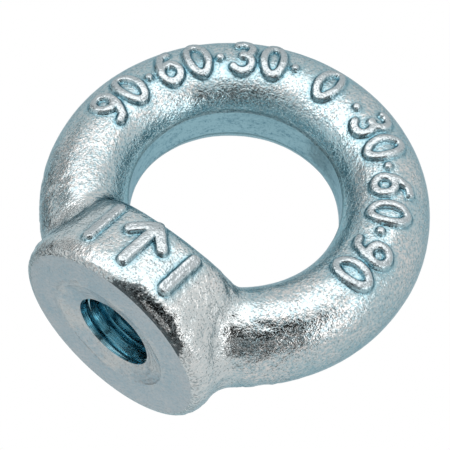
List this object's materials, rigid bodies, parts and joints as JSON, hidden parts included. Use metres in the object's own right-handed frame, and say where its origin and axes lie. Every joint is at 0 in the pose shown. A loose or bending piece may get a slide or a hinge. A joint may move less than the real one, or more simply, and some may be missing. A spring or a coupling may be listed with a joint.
{
  "type": "lifting eye nut",
  "caption": "Forged lifting eye nut: an oval-section ring on a short drafted round boss with a threaded hole up into the eye.",
  "frame": {"origin": "centre of the machined seat face, on the thread axis", "axes": "+Z along the thread axis from the seat towards the ring, ring in the XZ plane, eye open along Y"},
  "size_m": [0.054, 0.0306, 0.0536],
  "materials": {
    "zinc_plated_steel": "bright blue-passivated zinc plating over a grainy forged skin, machined matte on the seat"
  },
  "bodies": {
    "root": {"eye_nut": "zinc_plated_steel"}
  },
  "joints": []
}
